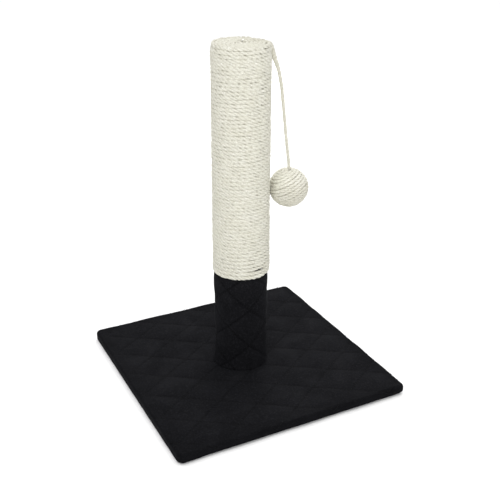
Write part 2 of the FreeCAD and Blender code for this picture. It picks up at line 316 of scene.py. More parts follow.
def velvet_material():
    m = Mat("quilted_velvet", Roughness=0.9, Specular_IOR_Level=0.02, Sheen_Weight=0.011, Sheen_Roughness=0.60,
            Sheen_Tint=(0.84, 0.88, 1.0, 1.0))
    fine = m.noise(1500.0, None, 2.0, 0.6)
    nap = m.noise(480.0, None, 2.0, 0.6)
    crush = m.noise(26.0, None, 3.0, 0.55, distort=0.6)
    seam = m.attr("seam")
    c = m.mix(m.ramp(fine, [(0.35, 0.0), (0.7, 1.0)]), (0.0032, 0.0032, 0.0037), (0.0080, 0.0080, 0.0094))
    c = m.mix(m.ramp(crush, [(0.42, 0.0), (0.70, 0.5)]), c, (0.0106, 0.0106, 0.0123))
    c = m.mix(m.ramp(nap, [(0.50, 0.0), (0.72, 0.75)]), c, (0.0150, 0.0150, 0.0173))
    # darker along the seams; the seam attribute also carries painted shade near the base's edge and on its sides
    c = m.mix(m.maths("MULTIPLY", seam, 0.62), c, (0.0020, 0.0020, 0.0024))
    m.colour(c)
    m.rough(m.ramp(crush, [(0.3, 0.95), (0.75, 0.80)]))
    m.bump((nap, 0.0005, 0.45), (fine, 0.00025, 0.6))
    return m.m


def thread_material():
    m = Mat("stitch_thread", Roughness=0.7, Specular_IOR_Level=0.10)
    twist = m.noise(2600.0, None, 2.0, 0.5)
    m.colour(m.ramp(twist, [(0.3, (0.0030, 0.0030, 0.0034)), (0.75, (0.0085, 0.0085, 0.0095))]))
    m.bump((twist, 0.0001, 0.6))
    return m.m


def steel_material():
    m = Mat("zinc_steel", Metallic=1.0)
    grain = m.noise(900.0, m.scaled(m.place(), (1, 1, 0.08)), 3.0, 0.6)
    spangle = m.noise(160.0, None, 2.0, 0.5)
    m.colour(m.mix(m.ramp(spangle, [(0.35, 0.0), (0.7, 1.0)]), (0.46, 0.47, 0.49), (0.66, 0.66, 0.67)))
    m.rough(m.ramp(grain, [(0.3, 0.24), (0.75, 0.46)]))
    m.bump((grain, 0.00005, 0.4))
    return m.m


def board_material():
    m = Mat("fibreboard", Roughness=0.8, Specular_IOR_Level=0.25)
    fibres = m.noise(420.0, m.scaled(m.place(), (1, 1, 3.0)), 5.0, 0.7)
    blot = m.noise(40.0, None, 3.0, 0.5)
    c = m.mix(m.ramp(fibres, [(0.3, 0.0), (0.75, 1.0)]), (0.30, 0.19, 0.105), (0.50, 0.36, 0.22))
    m.colour(m.mix(m.ramp(blot, [(0.4, 0.0), (0.8, 0.35)]), c, (0.36, 0.25, 0.15)))
    m.rough(m.ramp(fibres, [(0.2, 0.9), (0.8, 0.65)]))
    m.bump((fibres, 0.0002, 0.5))
    return m.m


def cloth_material():
    m = Mat("nonwoven_cloth", Roughness=0.9, Specular_IOR_Level=0.2, Sheen_Weight=0.12, Sheen_Roughness=0.5)
    v = m.node("ShaderNodeTexVoronoi", feature="F1", distance="CHEBYCHEV")
    v.inputs["Scale"].default_value = 620.0
    v.inputs["Randomness"].default_value = 0.0
    m.put(v.inputs["Vector"], m.place())
    fibres = m.noise(700.0, None, 5.0, 0.7, distort=1.5)
    c = m.mix(m.ramp(fibres, [(0.35, 0.0), (0.7, 1.0)]), (0.012, 0.012, 0.013), (0.040, 0.040, 0.042))
    m.colour(m.mix(m.ramp(v.outputs["Distance"], [(0.12, 0.7), (0.3, 0.0)]), c, (0.007, 0.007, 0.008)))
    m.bump((v.outputs["Distance"], 0.0002, 0.5), (fibres, 0.00015, 0.6))
    return m.m


def cardboard_material():
    m = Mat("spiral_cardboard", Roughness=0.85, Specular_IOR_Level=0.2)
    sep = m.node("ShaderNodeSeparateXYZ")
    m.put(sep.inputs[0], m.place())
    turn = m.maths("ARCTAN2", sep.outputs[1], sep.outputs[0])
    lead = m.maths("ADD", m.maths("MULTIPLY", sep.outputs[2], 1 / 0.075), m.maths("MULTIPLY", turn, 1 / (2 * math.pi)))
    edge = m.maths("ABSOLUTE", m.maths("SUBTRACT", m.maths("FRACT", lead), 0.5))
    fibres = m.noise(500.0, m.scaled(m.place(), (1, 1, 0.4)), 5.0, 0.7)
    c = m.mix(m.ramp(fibres, [(0.3, 0.0), (0.75, 1.0)]), (0.34, 0.24, 0.15), (0.52, 0.40, 0.27))
    m.colour(m.mix(m.ramp(edge, [(0.0, 0.8), (0.02, 0.0)]), c, (0.16, 0.11, 0.07)))
    m.bump((m.ramp(edge, [(0.0, 0.0), (0.03, 1.0)]), 0.0003, 0.8), (fibres, 0.0001, 0.5))
    return m.m


def pine_material():
    m = Mat("raw_pine", Roughness=0.7, Specular_IOR_Level=0.3)
    w = m.node("ShaderNodeTexWave", wave_type="RINGS", rings_direction="Y")
    m.put(w.inputs["Vector"], m.scaled(m.place(), (1.0, 0.15, 1.0)))
    w.inputs["Scale"].default_value = 95.0
    w.inputs["Distortion"].default_value = 3.0
    w.inputs["Detail"].default_value = 2.0
    pores = m.noise(900.0, m.scaled(m.place(), (1.0, 0.12, 1.0)), 3.0, 0.6)
    c = m.mix(w.outputs["Fac"], (0.66, 0.49, 0.30), (0.50, 0.33, 0.17))
    m.colour(m.mix(m.ramp(pores, [(0.55, 0.0), (0.75, 0.5)]), c, (0.36, 0.23, 0.12)))
    m.rough(m.ramp(pores, [(0.3, 0.62), (0.8, 0.85)]))
    m.bump((w.outputs["Fac"], 0.00012, 0.4), (pores, 0.00008, 0.5))
    return m.m


def plastic_material():
    m = Mat("moulded_plastic", Specular_IOR_Level=0.5)
    grain = m.noise(1200.0, None, 3.0, 0.6)
    flow = m.noise(30.0, None, 3.0, 0.5, distort=1.0)
    m.colour(m.mix(m.ramp(flow, [(0.3, 0.0), (0.75, 1.0)]), (0.76, 0.75, 0.70), (0.84, 0.83, 0.80)))
    m.rough(m.ramp(grain, [(0.3, 0.38), (0.8, 0.58)]))
    m.bump((grain, 0.00006, 0.4))
    return m.m


def give(ob, material):
    ob.data.materials.clear()
    ob.data.materials.append(material)


ROPE_MAT = rope_material("post_rope", (0.735, 0.725, 0.635), (0.625, 0.610, 0.520), (0.455, 0.430, 0.350))
# the ball's rope gets more painted shade on the sides of its turns
BALL_MAT = rope_material("ball_rope", (0.820, 0.810, 0.722), (0.705, 0.690, 0.594), (0.44, 0.415, 0.333), 0.32, 0.45)
CORD_MAT = rope_material("toy_cord", (0.735, 0.725, 0.632), (0.610, 0.595, 0.505), (0.45, 0.425, 0.343), 0.6)
VELVET = velvet_material()
THREAD = thread_material()
STEEL = steel_material()

# ---------------------------------------------------------------- toy cord
TAIL = [(4.5, 13.5), (9.0, 9.4), (13.3, 5.2), (17.8, 1.7), (22.3, 0.0), (27.0, 0.0)]
DROP = [(27.0, CORD_Z), (33.9, CORD_Z), (36.4, 406.4), (38.8, 396.6), (43.3, 385.6),
        (47.1, 370.6), (49.6, 352.0), (51.8, 330.0), (54.3, 306.0), (57.0, 283.0),
        (BALL_U, 267.5), (BALL_U, 256.0)]


def route(name, points, resolution):
    """Points along the smooth curve through the route, read from its own NURBS spline."""
    cu = bpy.data.curves.new(name, "CURVE")
    cu.dimensions = "3D"
    sp = cu.splines.new("NURBS")
    sp.points.add(len(points) - 1)
    for p, q in zip(sp.points, points):
        p.co = (*metres(q), 1.0)
    sp.order_u = 3
    sp.use_endpoint_u = True
    cu.resolution_u = resolution
    ob = bpy.data.objects.new(name, cu)
    bpy.context.scene.collection.objects.link(ob)
    me = bpy.data.meshes.new_from_object(ob)
    pts = np.array([v.co for v in me.vertices], float) * 1000
    bpy.data.objects.remove(ob)
    bpy.data.meshes.remove(me)
    bpy.data.curves.remove(cu)
    keep = np.r_[True, np.linalg.norm(np.diff(pts, axis=0), axis=1) > 1e-4]
    return pts[keep]


cord_path = route("cord_route", [uv(u, 0, z) for u, z in DROP], 34)
tail_path = route("tail_route", [uv(u, v, CORD_Z) for u, v in TAIL], 14)
T_AXIS = np.array((-SA, CA, 0.0))


def cord_size(path):
    """The cord is thicker where it is limp over the rim and thinner where the ball's weight draws it."""
    s = np.r_[0, np.cumsum(np.linalg.norm(np.diff(path, axis=0), axis=1))]
    return np.interp(s, [0, 7, 13, 22, 32, 48, 90, 150, 166], [2.2, 2.4, 2.6, 2.65, 2.45, 2.2, 2.0, 1.92, 1.92]) + 0.06 * waves(s, 6, 25, 71)


drop_r = cord_size(cord_path)
v, f, a = rope(cord_path, np.tile(T_AXIS, (len(cord_path), 1)), drop_r, drop_r, -9.5, 12, 2, 0.20, 2.0, 0.3, (0, 0), 3)
cord = new_object("toy_cord", v, f, True, a)
give(cord, CORD_MAT)
tail_r = 2.05 + 0.15 * smoothstep(np.linspace(0, 1, len(tail_path)) * 1.6 - 0.6)
v, f, a = rope(tail_path, np.tile((0.0, 0.0, 1.0), (len(tail_path), 1)), tail_r, tail_r * 0.98, -9.5, 12, 2, 0.20, 2.0, 0.9, (1.2, 0), 4)
tail = new_object("toy_cord_tail", v, f, True, a)
give(tail, CORD_MAT)


# ---------------------------------------------------------------- ball
def ball_winding():
    rad = BALL_R - BALL_ROPE / 2
    a0, a1 = 0.085, math.pi - 0.085
    step = BALL_ROPE / rad
    al, be = [], []
    x, bta = a0, 0.0
    while x < a1:                                   # even steps of about 0.65 mm along the winding
        al.append(x)
        be.append(bta)
        d = 0.65 / (rad * math.hypot(math.sin(x), step / (2 * math.pi)))
        d = min(d, 0.45)
        bta += d
        x += step * d / (2 * math.pi)
    al, be = np.array(al), np.array(be)
    al = al + 0.010 * waves(be, 1.2, 9, 21)
    n = np.stack([np.sin(al) * np.cos(be), np.sin(al) * np.sin(be), np.cos(al)], 1)
    lean = math.radians(28.0)                       # the winding's own axis leans, the cord's hole doesn't
    toward = np.array((RUN[0], RUN[1], 0.0))
    c, q = math.cos(lean), math.sin(lean)
    n = n * c + np.cross(np.tile(toward, (len(n), 1)), n) * q + toward * (n @ toward)[:, None] * (1 - c)
    # the turns are pushed apart round the hole where the cord goes in
    psi = np.arccos(np.clip(n[:, 2], -1, 1))
    flat = n[:, :2] / np.maximum(np.linalg.norm(n[:, :2], axis=1), 1e-6)[:, None]
    psi = psi + 0.125 * np.exp(-psi / 0.24)
    n = np.stack([flat[:, 0] * np.sin(psi), flat[:, 1] * np.sin(psi), np.cos(psi)], 1)
    dent = 0.3 * np.exp(-((psi - 0.20) / 0.10) ** 2)
    path = uv(BALL_U, 0, BALL_Z) + n * (rad - dent + 0.12 * waves(be, 0.8, 6, 23))[:, None]
    w = BALL_ROPE / 2 * (1.10 + 0.04 * waves(be, 0.6, 4, 24))
    return rope(path, n, w, BALL_ROPE / 2 * 0.98, -15.0, 15, 3, 0.26, 2.2, 0.0, (2.0, 2.0), 22)


v, f, a = ball_winding()
ball_open = smoothstep((v[:, 0] * CA + v[:, 1] * SA - BALL_U + 23.0) / 16.0)
a["groove"] = (np.maximum(a["groove"] - 0.35 * (1.0 - ball_open), 0.0)      # painted light: lighter grooves against the post, where the post shades the ball; painted shade low on the open side
               + 0.78 * smoothstep((BALL_Z + 20.0 - v[:, 2]) / 22.0) * ball_open)
ball = new_object("ball_rope_winding", v, f, True, a)
give(ball, BALL_MAT)
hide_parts("ball_winding")
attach(ball, "toy_ball")

for ob, gone in ((cord, ("cord_lead", "cord_drop")), (tail, ("cord_tail",))):
    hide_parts(*gone)
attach(tail, "stand")
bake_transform(cord)
cord_length = float(np.linalg.norm(np.diff(cord_path, axis=0), axis=1).sum())

# ---------------------------------------------------------------- rope on the post and its top
AZ0 = math.radians(62.0)              # where each turn begins, behind the view
STEP = 0.80                           # a flat turn climbs to the next in its last fifth


def flat_turn(f):
    return smoothstep((f - STEP) / (1 - STEP))


def post_rope():
    per_turn = 236
    t = np.arange(0, ROPE_TURNS * per_turn) / per_turn
    n, f = np.floor(t), t - np.floor(t)
    w = np.minimum(np.clip(t / 6, 0, 1), np.clip((ROPE_TURNS - 1 - t) / 6, 0, 1))
    climb = w * f + (1 - w) * flat_turn(f)
    climb = np.where(n >= ROPE_TURNS - 1, 0.0, climb)
    s = t * 2 * math.pi * 31.75
    last = n >= ROPE_TURNS - 1
    z = ROPE_Z0 + ROPE_D * (n + 0.5 + climb) + (0.22 * waves(s, 14, 70, 41) + 0.15 * waves(s, 6, 20, 40)) * np.where(last, 0.7, 1.0)
    z = z - 0.28 * last + 0.22 * waves(s, 8, 36, 39) * (n == 0)
    rad = TUBE_R + ROPE_D / 2 + 0.06 + 0.16 * waves(s, 8, 90, 42) + np.interp(z, [140, 170, 230, 300, 410], [0.60, 0.25, -0.20, -0.20, -0.40])
    rad = rad - np.interp(t, [57.9, 58.1, 58.9, 59.1, 59.9, 60.15], [0, 0.1, 0.1, 0.4, 0.4, RIM_IN - 0.2])
    rad = rad - (ROPE_D - 0.2) * np.where(last, flat_turn(f), 0.0)
    az = AZ0 + 2 * math.pi * t
    rad = rad + 0.9 * np.cos(az + math.radians(27.0)) * smoothstep((z - 200.0) / 190.0) * (1 - last * flat_turn(f))
    # the topmost turns lie close together on the left and show open creases on the front right
    open_side = smoothstep(0.5 + 0.7 * np.cos(az + math.radians(62.0)))
    half_w = 2.74 + 0.14 * waves(s, 6, 40, 43) - smoothstep((t - 57.6) / 0.8) * (0.42 * open_side - 0.10)
    # the first pass starts as a taper that the next one climbs over
    start = smoothstep(t / 0.10)
    half_w = half_w * (0.35 + 0.65 * start)
    # a short open slit between the second and the third turn, low on the front right
    deg = (np.degrees(az) + 180) % 360 - 180
    slit = np.exp(-((deg + 76.5) / 13.5) ** 4)
    z = z + slit * (0.48 * ((n >= 2) & (n <= 3)) * (1 - 0.5 * (n == 3)) - 0.48 * (n <= 1) * (1 - 0.5 * (n == 0)))
    half_w = half_w * (1 - 0.26 * slit * ((n == 1) | (n == 2)))
    path = np.stack([rad * np.cos(az), rad * np.sin(az), z], 1)
    out = np.stack([np.cos(az), np.sin(az), np.zeros_like(az)], 1)
    # the rim turn rolls from facing out to facing up as it becomes the flat coil
    roll = np.where(last, 0.5 * math.pi * smoothstep((f - 0.72) / 0.28), 0.0)
    up = np.array((0.0, 0.0, 1.0))
    out = out * np.cos(roll)[:, None] + up * np.sin(roll)[:, None]
    q = np.arange(0, int(5.78 * 190) + 1) / 190.0       # the flat turns, still on one rope
    n2, f2 = np.floor(q), q - np.floor(q)
    r2 = TUBE_R + ROPE_D / 2 + 0.06 - RIM_IN - ROPE_D * (1 + n2 + flat_turn(f2))
    r2 = r2 - 1.9 * smoothstep((q - 5.0) / 0.35)
    az2 = AZ0 + 2 * math.pi * q
    s2 = 2 * math.pi * 18 * q
    r2 = r2 + 0.14 * waves(s2, 15, 80, 44)
    p2 = np.stack([r2 * np.cos(az2), r2 * np.sin(az2),
                   np.full_like(q, Z_TUBE_TOP + ROPE_D / 2 - 0.12) + 0.10 * waves(s2, 15, 80, 45)], 1)
    path = np.concatenate([path, p2[1:]])
    out = np.concatenate([out, np.tile(up, (len(p2) - 1, 1))])
    open_2 = smoothstep(0.5 + 0.7 * np.cos(az2 + math.radians(62.0))) * (1 - smoothstep((q - 1.0) / 1.0))
    half_w = np.concatenate([half_w, (2.86 + 0.10 * waves(s2, 8, 50, 46) - 0.45 * open_2)[1:]])
    half_h = np.concatenate([np.full(len(t), 2.32) - 0.10 * smoothstep((t - 60) / 0.2), np.full(len(p2) - 1, 2.20)])
    return path, out, half_w, half_h


def along_cord(p, reach):
    """The nearest point of the cord's route and the cord's radius there, for every point; reach is not used."""
    line = np.concatenate([tail_path, cord_path[:150]])
    size = np.concatenate([tail_r, drop_r[:150]])
    d = np.full(len(p), 1e9)
    at = np.zeros(len(p), int)
    for i in range(0, len(line), 2):
        e = np.linalg.norm(p - line[i], axis=1)
        at = np.where(e < d, i, at)
        d = np.minimum(d, e)
    return d, line[at], size[at]


def press_round_cord(verts):
    """The coil gives way under the cord, into the pocket where the cord is stapled, and over the rim."""
    floor = Z_TUBE_TOP + 0.02
    near = np.where(verts[:, 2] > floor)[0]
    p = verts[near]
    # the pocket behind and to the right of the middle, with a small dimple on its left
    c = uv(9.2, 9.6, 0)
    e = np.hypot(p[:, 0] - c[0], p[:, 1] - c[1]) + 0.5 * waves(np.arctan2(p[:, 1] - c[1], p[:, 0] - c[0]) * 9, 7, 30, 47)
    k = 1 - 0.44 * smoothstep((10.4 - e) / 2.0)
    e = np.hypot(p[:, 0] + 10.8, p[:, 1] - 13.0)
    k = k - 0.55 * np.exp(-(e / 2.1) ** 2)
    line = np.concatenate([tail_path, cord_path[:40]])
    size = np.concatenate([tail_r, drop_r[:40]])
    d, zc, rc = np.full(len(p), 1e9), np.zeros(len(p)), np.zeros(len(p))
    for q, r in zip(line[::2], size[::2]):
        e = np.hypot(p[:, 0] - q[0], p[:, 1] - q[1])
        zc, rc = np.where(e < d, q[2], zc), np.where(e < d, r + 0.35, rc)
        d = np.minimum(d, e)
    low = zc - np.sqrt(np.clip(rc ** 2 - d ** 2, 0, None)) + np.clip(d - rc, 0, None) * 1.6 + np.clip(d - rc - 1.2, 0, None) * 8
    k = np.minimum(k, np.clip((low - floor) / (Z_TUBE_TOP + ROPE_D - floor), 0.08, 1.0))
    p[:, 2] = floor + (p[:, 2] - floor) * k
    verts[near] = p
    # below the rim the turns are dented where the cord lies against them
    near = np.where((verts[:, 2] > 385.0) & (verts[:, 2] <= floor))[0]
    p = verts[near]
    d, q, r = along_cord(p, 4.0)
    r = r + 0.12
    inside = d < r
    shift = (p - q) / np.maximum(d, 1e-6)[:, None] * (r - d)[:, None]
    p[inside] += shift[inside]
    verts[near] = p
    return verts


path, out, half_w, half_h = post_rope()
v, f, a = rope(path, out, half_w, half_h, -19.0, 15, 3, 0.34, 2.4, 0.0, (0, 2.5), 51)
v = press_round_cord(v)
# painted shade on the rope in the pocket and on the back right, where the cord lies on it
du = v[:, 0] * CA + v[:, 1] * SA
dv = -v[:, 0] * SA + v[:, 1] * CA
painted_shade = np.maximum(smoothstep((10.4 - np.hypot(du - 9.2, dv - 9.6)) / 1.8),
                  0.6 * smoothstep((du - 6.0) / 6.0) * smoothstep((dv - 1.0) / 2.5))
a["groove"] = a["groove"] + 0.75 * (v[:, 2] > Z_TUBE_TOP) * painted_shade
wrap = new_object("post_rope_winding", v, f, True, a)
give(wrap, ROPE_MAT)
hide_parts("rope_wrap", "rope_top_coil")
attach(wrap, "stand")


# ---------------------------------------------------------------- quilting
class Quilt:
    """Diamonds with half diagonals hx and hy, one node at (x0, y0)."""

    def __init__(self, x0, y0, hx, hy, seed):
        self.x0, self.y0, self.hx, self.hy, self.seed = x0, y0, hx, hy, seed
        self.grad = math.hypot(1 / (2 * hx), 1 / (2 * hy))
        self.side = math.hypot(hx, hy)
        self.far = 0.5 / self.grad

    def ab(self, x, y):
        u, v = (x - self.x0) / (2 * self.hx), (y - self.y0) / (2 * self.hy)
        return u + v, u - v

    def at(self, a, b):
        return self.x0 + self.hx * (a + b), self.y0 + self.hy * (a - b)

    def distances(self, x, y):
        a, b = self.ab(x, y)
        bend = 0.012                                  # seams aren't quite straight
        a = a + bend * waves2(x, y, 50, 160, self.seed)
        b = b + bend * waves2(x, y, 50, 160, self.seed + 1)
        return np.abs(a - np.round(a)) / self.grad, np.abs(b - np.round(b)) / self.grad, a, b

    def puff(self, d):
        return 0.42 * (1 - np.exp(-d / 2.2)) + 0.58 * np.sin(math.pi / 2 * np.clip(d / self.far, 0, 1))

    def height(self, x, y):
        """0 in a seam to 1 in the middle of a diamond, with the small pleats beside the stitches."""
        da, db, a, b = self.distances(x, y)
        h = self.puff(da) * self.puff(db)
        ph = 2.2 * waves2(x, y, 18, 70, self.seed + 2)
        pleat = (np.exp(-da / 4.5) * (1 - np.exp(-da / 0.9)) * np.sin(2 * math.pi * b * self.side / 7.1 + ph)
                 + np.exp(-db / 4.5) * (1 - np.exp(-db / 0.9)) * np.sin(2 * math.pi * a * self.side / 7.1 + ph + 1))
        return h + 0.11 * pleat

    def seam(self, x, y):
        da, db, _, _ = self.distances(x, y)
        return np.exp(-(np.minimum(da, db) / 0.9) ** 2)

    def on_seam(self, family, k, s):
        """The points at distance s along the seam number k of a family, on its bent line."""
        a = np.full_like(s, k) if family == 0 else s / self.side
        b = s / self.side if family == 0 else np.full_like(s, k)
        x, y = self.at(a, b)
        for _ in range(3):
            wa, wb = 0.012 * waves2(x, y, 50, 160, self.seed), 0.012 * waves2(x, y, 50, 160, self.seed + 1)
            x, y = self.at(a - wa, b - wb)
        return x, y


BASE_Q = Quilt(9.0, -24.5, 37.8, 25.7, 101)
SLEEVE_Q = Quilt(9.6, 98.2, 27.8, 25.2, 201)
SEAM_Z, PEAK = 11.75, 1.60                      # level of the seams, and how far a diamond stands above them
EDGE = 146.0                                    # the flat top ends here and the cloth turns over the edge


def edge_profile():
    """(distance along the cloth from EDGE, how far out, height, outward and upward part of the normal)."""
    rows = []
    z1 = Z_TOP - 0.35
    for k in range(0, 9):
        a = math.radians(90 * k / 8)
        rows.append((EDGE + 4 * math.sin(a) ** 0.74, z1 - 4 * (1 - math.cos(a) ** 0.74), math.sin(a), math.cos(a)))
    for z in (7.9, 7.2, 6.5, 5.8, 5.2):
        rows.append((150.0, z, 1.0, 0.0))
    for k in range(0, 8):
        a = math.radians(90 * k / 7)
        rows.append((147.0 + 3.0 * math.cos(a), 3.5 - 3.0 * math.sin(a), math.cos(a), -math.sin(a)))
    for h in (145.9, 144.2, 142.6, 140.8, 138.8, 136.6, 134.4, 132.2, 130.0, 127.8, 125.8, 124.6):
        rows.append((h, 0.5, 0.0, -1.0))
    l, table = 0.0, []
    for k, r in enumerate(rows):
        if k:
            l += math.hypot(r[0] - rows[k - 1][0], r[1] - rows[k - 1][1])
        table.append((l, *r))
    return np.array(table)


PROFILE = edge_profile()


def cover_amount(x, y, l=0.0):
    """How much of the puff is left: less near the edge, where the cloth is pulled tight, and at the post's foot."""
    m = np.maximum(np.abs(x), np.abs(y))
    edge = 0.42 + 0.58 * smoothstep((EDGE + 2 - m) / 20.0)
    foot = 0.25 + 0.75 * smoothstep((np.hypot(x, y) - 33.0) / 15.0)
    return edge * foot


def top_height(x, y):
    amount = cover_amount(x, y)
    seam_level = SEAM_Z + (1 - amount) * 0.7
    foot = -0.4 * np.exp(-((np.hypot(x, y) - 37.0) / 5.0) ** 2)
    return seam_level + PEAK * amount * BASE_Q.height(x, y) + 0.16 * waves2(x, y, 45, 150, 111) + foot


def ring_point(px, py, h, r):
    """A point of the unit square's edge, put on a square of half side h with corners of radius r."""
    x, y = px * h, py * h
    ax, ay = np.abs(x), np.abs(y)
    corner = (ax > h - r) & (ay > h - r) & (r > 0)
    rr = max(r, 1e-9)
    onx = ax >= ay
    ang = np.where(onx, (ay - (h - r)) / rr * math.pi / 4, math.pi / 2 - (ax - (h - r)) / rr * math.pi / 4)
    cx, cy = (h - r) + r * np.cos(ang), (h - r) + r * np.sin(ang)
    nx = np.where(corner, np.cos(ang) * np.sign(x), np.where(onx, np.sign(x), 0.0))
    ny = np.where(corner, np.sin(ang) * np.sign(y), np.where(onx, 0.0, np.sign(y)))
    return np.where(corner, cx * np.sign(x), x), np.where(corner, cy * np.sign(y), y), nx, ny


def base_cover():
    n = 292
    g = np.linspace(-EDGE, EDGE, n + 1)
    gx, gy = np.meshgrid(g, g, indexing="ij")
    m = np.maximum(np.abs(gx), np.abs(gy))
    x, y = gx.copy(), gy.copy()
    for h in np.unique(np.round(m[m > 142.0], 6)):         # the outer rings of the top have round corners
        k = np.abs(m - h) < 1e-4
        x[k], y[k], _, _ = ring_point(gx[k] / h, gy[k] / h, h, h - 142.0)
    z = top_height(x, y)
    blend_edge = smoothstep((m - 140.0) / 6.0)
    z = z * (1 - blend_edge) + (Z_TOP - 0.35 + 0.5 * (z - 12.6)) * blend_edge
    verts = [np.stack([x, y, z], -1).reshape(-1, 3)]
    seam = [np.maximum(BASE_Q.seam(x, y), 0.45 * smoothstep((m - 126.0) / 20.0)).ravel()]      # darker along the seams, and painted shade within 20 mm of the edge
    faces = []
    idx =np.arange((n + 1) ** 2).reshape(n + 1, n + 1)
    faces.append(np.stack([idx[:-1, :-1], idx[1:, :-1], idx[1:, 1:], idx[:-1, 1:]], -1).reshape(-1, 4))
    ring = np.concatenate([idx[:-1, 0], idx[-1, :-1], idx[:0:-1, -1], idx[0, :0:-1]])
    bx, by = gx.ravel()[ring] / EDGE, gy.ravel()[ring] / EDGE
    k = len(ring)
    last, base = ring, (n + 1) ** 2
    x0, y0, nx, ny = ring_point(bx, by, EDGE, 4.0)
    z_edge = z.ravel()[ring]
    per = np.arange(k) * (4 * 2 * EDGE / k)
    corner = np.exp(-((np.minimum(np.abs(x0), np.abs(y0)) - 146.0) / 9.0) ** 2)
    for row in PROFILE[1:]:
        l, h, zz, no, nu = row
        px, py, ox, oy = ring_point(bx, by, h, max(h - 142.0, 0.0) if h > 142.5 else 0.5)
        xu, yu = x0 + nx * l, y0 + ny * l
        hq = BASE_Q.height(xu, yu)
        amp = 0.60 * (1 - 0.55 * smoothstep((l - 10) / 8))
        lift = amp * (hq - 0.55) + 0.12 * waves2(xu, yu, 25, 90, 115)
        lift = np.clip(lift, -0.6, 0.6)
        if l > 12:
            lift = np.clip(lift, -0.6, 0.0) if nu < -0.5 else lift * 0.5
        # the cloth is gathered at the corners: small pleats that run down the side
        lift = lift + 0.20 * corner * np.sin(per / 2.3) * smoothstep((l - 2) / 5) * (1 if nu > -0.5 else 0.4)
        if nu < -0.5:
            lift = np.minimum(lift, 0.0)
        zadd = (z_edge - (Z_TOP - 0.35)) * (1 - smoothstep(l / 5.0))
        # along the front right side and towards the right corner the cloth is drawn tighter and the edge is thinner
        right, side = smoothstep((px - py - 150.0) / 150.0), smoothstep((px - py) / 45.0)
        zadd = zadd + (0.75 * right + 0.85 * side) * smoothstep((8.0 - zz) / 6.0) * (no > 0.05) - 0.45 * right * smoothstep((zz - 7.0) / 4.0)
        verts.append(np.stack([px + ox * no * lift, py + oy * no * lift, zz + nu * lift + zadd], -1))
        # painted shade over the edge and down the sides: the seam value is held at 0.45 or more there
        seam.append(np.maximum(BASE_Q.seam(xu, yu) * (1.0 if l < 12 else 0.5), 0.45 + 0.35 * smoothstep(l / 5.0)))
        now = base + np.arange(k)
        faces.append(np.stack([last, now, np.roll(now, -1), np.roll(last, -1)], -1))
        last, base = now, base + k
    # raw edge of the fold, then the side that lies on the board
    for h, zz in ((124.2, 0.75), (124.0, 1.1), (124.3, 1.5), (125.5, 1.66), (140.0, 1.66), (147.3, 1.68), (147.45, 3.0), (147.45, 9.0), (147.3, 10.66)):
        px, py, _, _ = ring_point(bx, by, h, max(h - 142.0, 0.0) if h > 142.5 else 0.5)
        verts.append(np.stack([px, py, np.full(k, zz)], -1))
        seam.append(np.zeros(k))
        now = base + np.arange(k)
        faces.append(np.stack([last, now, np.roll(now, -1), np.roll(last, -1)], -1))
        last, base = now, base + k
    faces = [list(q) for block in faces for q in block.tolist()]
    centre = np.array([[0.0, 0.0, 10.66]])
    verts.append(centre)
    seam.append(np.zeros(1))
    faces += [[base, int(last[(q + 1) % k]), int(last[q])] for q in range(k)]
    return np.concatenate(verts), faces, np.concatenate(seam)


v, f, sm = base_cover()
cover = new_object("quilted_base_cover", v, f, True, {"seam": sm})
give(cover, VELVET)
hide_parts("base_cover")
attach(cover, "stand")


# ---------------------------------------------------------------- sleeve
SLEEVE_TOP = ROPE_Z0 - 0.1
SLEEVE_IN = TUBE_R + 0.05


def sleeve_radius(s, z):
    """Outer radius of the sleeve. s is the distance round it from the side that faces the view."""
    hq = SLEEVE_Q.height(s, z)
    up = smoothstep((z - Z_TOP) / 14.0) * (0.45 + 0.55 * smoothstep((SLEEVE_TOP - z) / 12.0))
    r = 32.30 + 1.35 * hq * (0.35 + 0.65 * up) - 0.6 * np.sin(s / 32.6)
    r = r + 0.28 * waves2(s, z * 0.7, 22, 90, 211) * smoothstep((SLEEVE_TOP - z) / 15.0)
    left = np.exp(-((s + 52.0) / 38.0) ** 2)
    r = r + (1.0 + 2.8 * left) * np.exp(-(z - Z_TOP) / 8.0)
    # soft drag folds at the foot
    r = r + 0.35 * np.exp(-(z - Z_TOP) / 11.0) * waves(s, 9, 34, 212)
    return r


